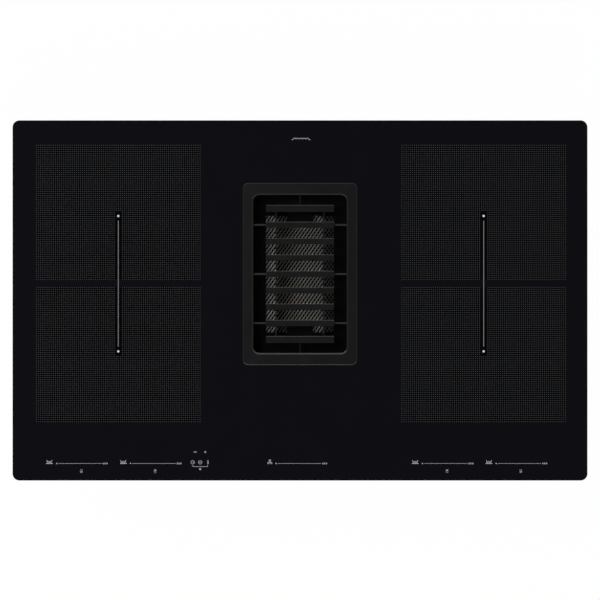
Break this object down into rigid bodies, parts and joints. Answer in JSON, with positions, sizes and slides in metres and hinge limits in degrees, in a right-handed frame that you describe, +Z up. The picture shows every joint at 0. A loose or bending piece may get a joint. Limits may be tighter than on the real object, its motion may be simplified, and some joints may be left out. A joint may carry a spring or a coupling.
{
  "type": "downdraft induction cooktop",
  "caption": "Built-in induction hob: black glass panel with a central downdraft grille, touch sliders, coils, duct, drip tray, blower and flat rear outlet.",
  "frame": {"origin": "centre of the glass panel's footprint, on the worktop plane that the sealing gasket lies on", "axes": "+X to the right, +Y to the back edge of the glass, +Z up; the touch controls are at the front, -Y"},
  "size_m": [0.83, 0.52, 0.2135],
  "materials": {
    "ceramic_glass": "polished black glass ceramic",
    "rubber_seal": "matt silicone",
    "galvanised_sheet": "galvanised",
    "black_cast": "matt black coat",
    "black_plastic": "moulded",
    "grey_plastic": "moulded",
    "steel_mesh": "stretched sheet",
    "filter_steel": "black enamel",
    "motor_steel": "turned",
    "copper_litz": "enamelled strands",
    "ferrite": "sintered",
    "mica": "pressed sheet",
    "aluminium": "mill finish",
    "circuit_board": "solder mask",
    "component_black": "moulded",
    "capacitor_box": "cast resin",
    "screw_steel": "zinc plated",
    "clear_red_plastic": "tinted"
  },
  "bodies": {
    "root": {"glass_panel": "ceramic_glass", "sealing_gasket": "rubber_seal", "glass_bond": "rubber_seal", "casing_tray": "galvanised_sheet", "duct_seal": "rubber_seal", "suction_duct": "black_plastic", "plenum_box": "galvanised_sheet", "plenum_seal": "rubber_seal", "scroll_casing": "black_plastic", "scroll_top_plate": "black_plastic", "motor_body": "motor_steel", "motor_bearings": "motor_steel", "motor_stator": "copper_litz", "motor_cover": "galvanised_sheet", "motor_bushes": "rubber_seal", "outlet_spigot": "black_plastic", "flap_pins": "motor_steel", "mica_sheets": "mica", "coil_windings": "copper_litz", "coil_formers": "grey_plastic", "ferrite_bars": "ferrite", "coil_sensors": "component_black", "coil_plates": "aluminium", "plate_posts": "black_plastic", "power_boards": "circuit_board", "filter_board": "circuit_board", "board_standoffs": "black_plastic", "heat_sinks": "aluminium", "power_modules": "component_black", "capacitors": "capacitor_box", "chokes": "copper_litz", "cooling_fan_frames": "black_plastic", "touch_board": "circuit_board", "touch_carrier": "black_plastic", "touch_pads": "component_black", "display_modules": "clear_red_plastic", "terminal_box": "black_plastic", "terminal_base": "black_plastic", "terminal_cover": "black_plastic", "terminal_block": "grey_plastic", "cord_gland": "black_plastic", "fixing_brackets": "galvanised_sheet", "casing_screws": "screw_steel", "blower_screws": "screw_steel"},
    "spill_tray": {"spill_tray": "black_plastic"},
    "grease_filter": {"filter_frame": "filter_steel", "filter_mesh": "steel_mesh", "filter_handles": "black_plastic"},
    "grille": {"grille_frame": "black_cast", "grille_pads": "rubber_seal", "slat_grid": "black_cast", "grille_arms": "black_cast"},
    "blower_rotor": {"fan_wheel": "grey_plastic", "motor_shaft": "motor_steel", "motor_rotor": "motor_steel"},
    "cooling_left": {"cooling_rotor_left": "black_plastic"},
    "cooling_right": {"cooling_rotor_right": "black_plastic"},
    "upper_flap": {"flap_upper": "grey_plastic"},
    "lower_flap": {"flap_lower": "grey_plastic"}
  },
  "joints": [
    {"name": "tray_lift", "type": "slide", "parent": "root", "child": "spill_tray", "axis": [0, 0, 1], "range_m": [0, 0.14]},
    {"name": "filter_lift", "type": "slide", "parent": "spill_tray", "child": "grease_filter", "axis": [0, 0, 1], "range_m": [0, 0.08]},
    {"name": "grille_lift", "type": "slide", "parent": "grease_filter", "child": "grille", "axis": [0, 0, 1], "range_m": [0, 0.06]},
    {"name": "blower_spin", "type": "hinge", "parent": "root", "child": "blower_rotor", "pos_m": [-0.10149, 0.02, -0.16], "axis": [0, 0, 1], "continuous": true},
    {"name": "cooling_left_spin", "type": "hinge", "parent": "root", "child": "cooling_left", "pos_m": [-0.335, 0.175, -0.045], "axis": [0, 0, 1], "continuous": true},
    {"name": "cooling_right_spin", "type": "hinge", "parent": "root", "child": "cooling_right", "pos_m": [0.335, 0.175, -0.045], "axis": [0, 0, 1], "continuous": true},
    {"name": "upper_flap_swing", "type": "hinge", "parent": "root", "child": "upper_flap", "pos_m": [0, 0.209, -0.1175], "axis": [1, 0, 0], "range_deg": [0, 75]},
    {"name": "lower_flap_swing", "type": "hinge", "parent": "root", "child": "lower_flap", "pos_m": [0, 0.209, -0.15875], "axis": [1, 0, 0], "range_deg": [0, 75]}
  ]
}
